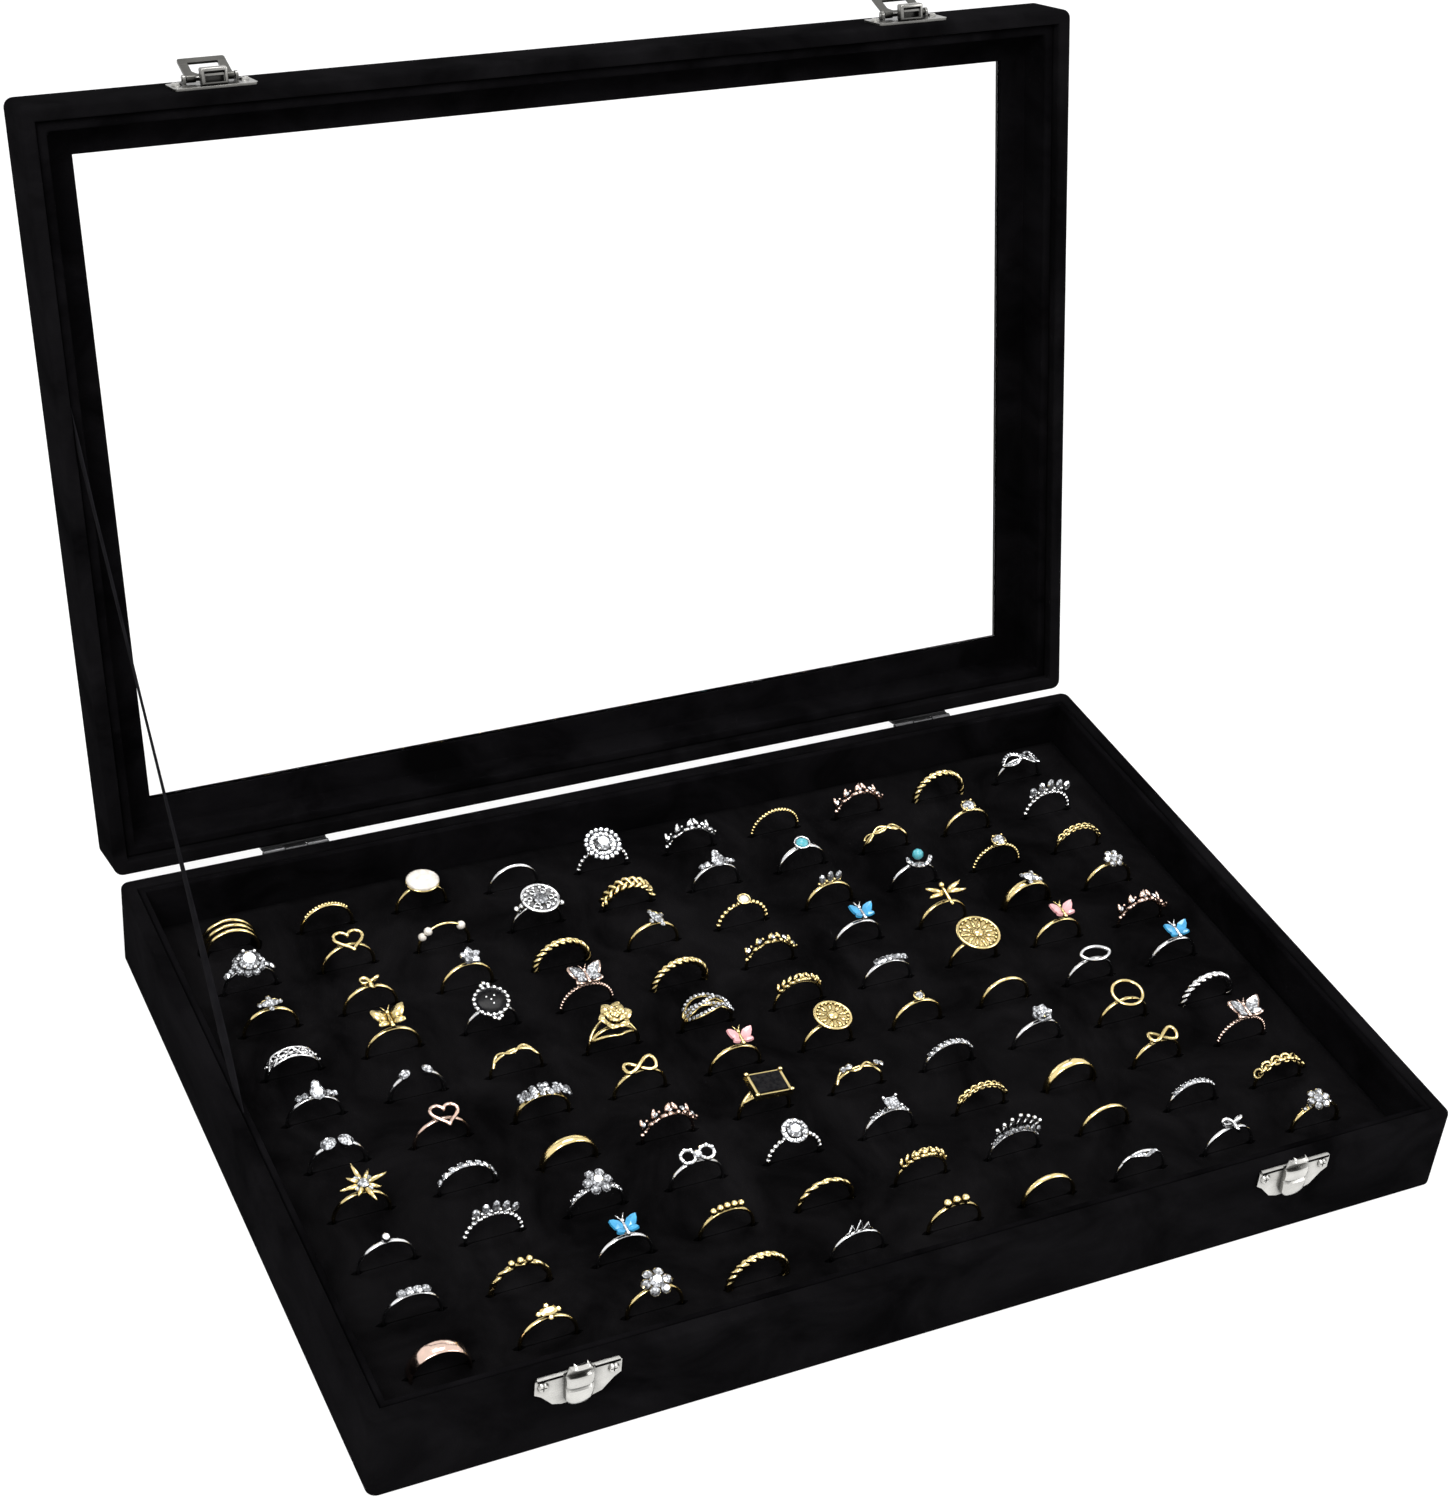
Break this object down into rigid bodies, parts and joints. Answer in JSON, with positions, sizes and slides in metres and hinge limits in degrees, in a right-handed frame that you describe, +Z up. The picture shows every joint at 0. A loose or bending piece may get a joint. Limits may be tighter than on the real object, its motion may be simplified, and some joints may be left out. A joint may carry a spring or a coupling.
{
  "type": "ring display box",
  "caption": "Flat velvet-covered display case for finger rings, with a slotted foam pad, a hinged glass lid held open by a ribbon, and snap latches.",
  "frame": {"origin": "centre of the tray's underside", "axes": "+X right along the long side, -Y towards the latches, +Z up; drawn with the lid open"},
  "size_m": [0.351, 0.3326, 0.2661],
  "materials": {
    "velvet": "black short-pile velvet",
    "liner_velvet": "black short-pile velvet over card",
    "pad_flock": "black flocked foam",
    "felt": "thin black felt",
    "ribbon": "dark grey satin ribbon",
    "board": "plain softwood board",
    "card": "grey card",
    "pane": "clear, polished",
    "nickel": "bright nickel plate on pressed steel",
    "hinge_steel": "satin plated steel",
    "ring_gold": "polished, gold-coloured",
    "ring_silver": "polished, silver-coloured",
    "ring_rose_gold": "polished, rose-gold-coloured"
  },
  "bodies": {
    "case": {"underside_felt": "felt", "floor_board": "board", "front_board": "board", "right_board": "board", "back_board": "board", "left_board": "board", "tray_velvet": "velvet", "tray_liner": "liner_velvet", "pad_card": "card", "ring_pad": "pad_flock", "rings_row_01": "ring_gold", "rings_row_02": "ring_silver", "rings_row_03": "ring_gold", "rings_row_04": "ring_gold", "rings_row_05": "ring_silver", "rings_row_06": "ring_rose_gold", "rings_row_07": "ring_gold", "rings_row_08": "ring_silver", "rings_row_09": "ring_gold", "rings_row_10": "ring_gold", "hinge_tray_leaf_left": "hinge_steel", "hinge_tray_leaf_right": "hinge_steel", "hinge_pin_left": "hinge_steel", "hinge_pin_right": "hinge_steel", "hinge_tray_screws": "hinge_steel", "catch_left": "nickel", "catch_right": "nickel", "catch_screws": "nickel", "lid_ribbon": "ribbon", "ribbon_tray_tack": "hinge_steel"},
    "lid": {"lid_front_rail": "board", "lid_right_rail": "board", "lid_back_rail": "board", "lid_left_rail": "board", "lid_velvet": "velvet", "glass_pane": "pane", "glass_liner": "liner_velvet", "hinge_lid_leaf_left": "hinge_steel", "hinge_lid_leaf_right": "hinge_steel", "hinge_lid_screws": "hinge_steel", "latch_plate_left": "nickel", "latch_plate_right": "nickel", "latch_pin_left": "nickel", "latch_pin_right": "nickel", "latch_rivets": "nickel", "ribbon_lid_tack": "hinge_steel"},
    "latch_left": {"latch_flap_left": "nickel"},
    "latch_right": {"latch_flap_right": "nickel"}
  },
  "joints": [
    {"name": "lid_hinge", "type": "hinge", "parent": "case", "child": "lid", "pos_m": [0, 0.1223, 0.0283], "axis": [-1, 0, 0], "range_deg": [-105, 0], "deforming": ["lid_ribbon"]},
    {"name": "latch_left_swing", "type": "hinge", "parent": "lid", "child": "latch_left", "pos_m": [-0.1165, 0.19601, 0.26281], "axis": [1, 0, 0], "range_deg": [0, 155]},
    {"name": "latch_right_swing", "type": "hinge", "parent": "lid", "child": "latch_right", "pos_m": [0.1165, 0.19601, 0.26281], "axis": [1, 0, 0], "range_deg": [0, 155]}
  ]
}
